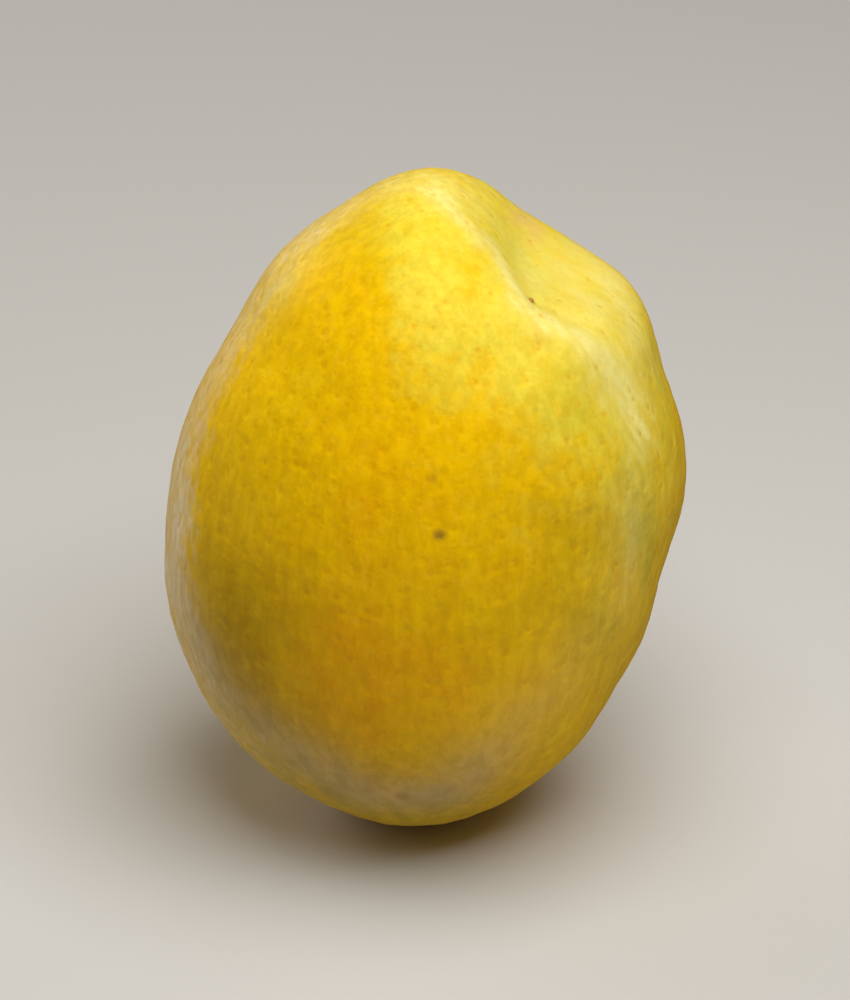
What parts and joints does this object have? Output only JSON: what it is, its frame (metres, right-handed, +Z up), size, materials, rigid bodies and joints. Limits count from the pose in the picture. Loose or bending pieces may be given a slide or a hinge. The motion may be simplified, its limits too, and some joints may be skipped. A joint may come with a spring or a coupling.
{
  "type": "sweet orange",
  "caption": "Whole picked sweet orange of a lopsided egg shape, with a dished and furrowed blossom end and a dry calyx button, resting on a small flat spot.",
  "frame": {"origin": "on the surface that the orange rests on, under the middle of its box", "axes": "+Z up, -Y towards the viewer of the picture, +X to the viewer's right"},
  "size_m": [0.0706, 0.0672, 0.0948],
  "materials": {
    "orange_skin": "waxy pitted rind, lemon yellow to golden orange with a green tinge",
    "dry_calyx": "dry, matt, olive brown"
  },
  "bodies": {
    "root": {"orange_fruit": "orange_skin", "calyx_button": "dry_calyx"}
  },
  "joints": []
}
